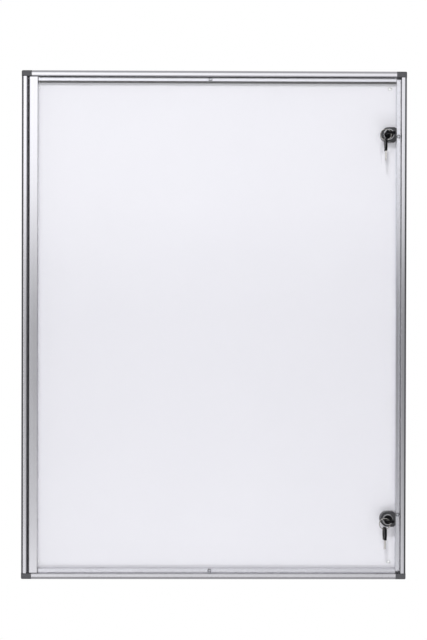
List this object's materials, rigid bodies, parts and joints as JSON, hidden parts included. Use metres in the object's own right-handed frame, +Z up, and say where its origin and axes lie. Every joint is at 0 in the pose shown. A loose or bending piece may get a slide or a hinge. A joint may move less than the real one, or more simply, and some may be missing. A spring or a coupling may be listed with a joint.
{
  "type": "lockable notice board",
  "caption": "Slim wall notice board with aluminium rails, plastic corners, magnetic back panel and a side-hinged clear door with key locks.",
  "frame": {"origin": "centre of the board's back, in the plane of the wall", "axes": "+X to the right seen from the front, +Y into the wall, +Z up; the front faces -Y"},
  "size_m": [0.75, 0.066, 0.99],
  "materials": {
    "anodised_aluminium": "satin silver anodised extrusion",
    "corner_plastic": "fine matt moulded",
    "white_enamel": "smooth semi-gloss white",
    "core_board": "raw hardboard",
    "galvanised_steel": "galvanised, matt",
    "clear_acrylic": "clear, polished",
    "clear_bumper": "clear, glossy",
    "bonding_tape": "matt foam",
    "pin_steel": "ground",
    "washer_nylon": "smooth",
    "lock_plastic": "fine grained, satin",
    "lock_chrome": "polished",
    "plug_black": "gloss black",
    "zinc_cast": "cast and zinc plated",
    "key_plastic": "moulded black",
    "key_nickel": "nickel plated"
  },
  "bodies": {
    "frame": {"rail_left": "anodised_aluminium", "rail_right": "anodised_aluminium", "rail_top": "anodised_aluminium", "rail_bottom": "anodised_aluminium", "corner_top_left": "corner_plastic", "corner_top_right": "corner_plastic", "corner_bottom_left": "corner_plastic", "corner_bottom_right": "corner_plastic", "rear_sheet": "galvanised_steel", "core_board": "core_board", "display_sheet": "white_enamel", "bumper_top": "clear_bumper", "bumper_bottom": "clear_bumper", "bumper_upper_right": "clear_bumper", "bumper_lower_right": "clear_bumper", "hinge_washer_top": "washer_nylon", "hinge_washer_bottom": "washer_nylon"},
    "door": {"hinge_strip": "anodised_aluminium", "hinge_pin_top": "pin_steel", "hinge_pin_bottom": "pin_steel", "door_pane": "clear_acrylic", "pane_tape": "bonding_tape", "upper_lock_plate": "lock_plastic", "upper_lock_cylinder": "lock_chrome", "upper_lock_nut": "zinc_cast", "upper_lock_case": "lock_plastic", "upper_lock_cover": "lock_plastic", "lower_lock_plate": "lock_plastic", "lower_lock_cylinder": "lock_chrome", "lower_lock_nut": "zinc_cast", "lower_lock_case": "lock_plastic", "lower_lock_cover": "lock_plastic"},
    "upper_plug": {"upper_lock_plug": "plug_black"},
    "upper_bolt": {"upper_lock_bolt": "zinc_cast"},
    "upper_key": {"upper_key_blade": "key_nickel", "upper_key_bow": "key_plastic"},
    "upper_ring": {"upper_ring": "key_nickel"},
    "upper_spare_key": {"upper_spare_key_blade": "key_nickel", "upper_spare_key_bow": "key_plastic"},
    "lower_plug": {"lower_lock_plug": "plug_black"},
    "lower_bolt": {"lower_lock_bolt": "zinc_cast"},
    "lower_key": {"lower_key_blade": "key_nickel", "lower_key_bow": "key_plastic"},
    "lower_ring": {"lower_ring": "key_nickel"},
    "lower_spare_key": {"lower_spare_key_blade": "key_nickel", "lower_spare_key_bow": "key_plastic"}
  },
  "joints": [
    {"name": "door_hinge", "type": "hinge", "parent": "frame", "child": "door", "pos_m": [-0.3578, -0.0255, 0], "axis": [0, 0, -1], "range_deg": [0, 110]},
    {"name": "upper_plug_turn", "type": "hinge", "parent": "door", "child": "upper_plug", "pos_m": [0.339, -0.03, 0.372], "axis": [0, 1, 0], "range_deg": [0, 90]},
    {"name": "upper_bolt_throw", "type": "slide", "parent": "door", "child": "upper_bolt", "axis": [1, 0, 0], "range_m": [0, 0.00552]},
    {"name": "upper_key_pull", "type": "slide", "parent": "upper_plug", "child": "upper_key", "axis": [0, -1, 0], "range_m": [0, 0.025]},
    {"name": "upper_ring_swing", "type": "hinge", "parent": "upper_key", "child": "upper_ring", "pos_m": [0.339, -0.0556, 0.372], "axis": [0, 1, 0], "range_deg": [0, 30]},
    {"name": "upper_spare_key_swing", "type": "hinge", "parent": "upper_ring", "child": "upper_spare_key", "pos_m": [0.32943, -0.0556, 0.35753], "axis": [1, 0, 0], "range_deg": [-60, 25]},
    {"name": "lower_plug_turn", "type": "hinge", "parent": "door", "child": "lower_plug", "pos_m": [0.339, -0.03, -0.3774], "axis": [0, 1, 0], "range_deg": [0, 90]},
    {"name": "lower_bolt_throw", "type": "slide", "parent": "door", "child": "lower_bolt", "axis": [1, 0, 0], "range_m": [0, 0.00552]},
    {"name": "lower_key_pull", "type": "slide", "parent": "lower_plug", "child": "lower_key", "axis": [0, -1, 0], "range_m": [0, 0.025]},
    {"name": "lower_ring_swing", "type": "hinge", "parent": "lower_key", "child": "lower_ring", "pos_m": [0.339, -0.0556, -0.3774], "axis": [0, 1, 0], "range_deg": [0, 30]},
    {"name": "lower_spare_key_swing", "type": "hinge", "parent": "lower_ring", "child": "lower_spare_key", "pos_m": [0.32943, -0.0556, -0.39187], "axis": [1, 0, 0], "range_deg": [-60, 25]}
  ],
  "couplings": [
    {"joint": "upper_bolt_throw", "follows": "upper_plug_turn", "m_per_rad": 0.0035112},
    {"joint": "lower_bolt_throw", "follows": "lower_plug_turn", "m_per_rad": 0.0035112}
  ]
}
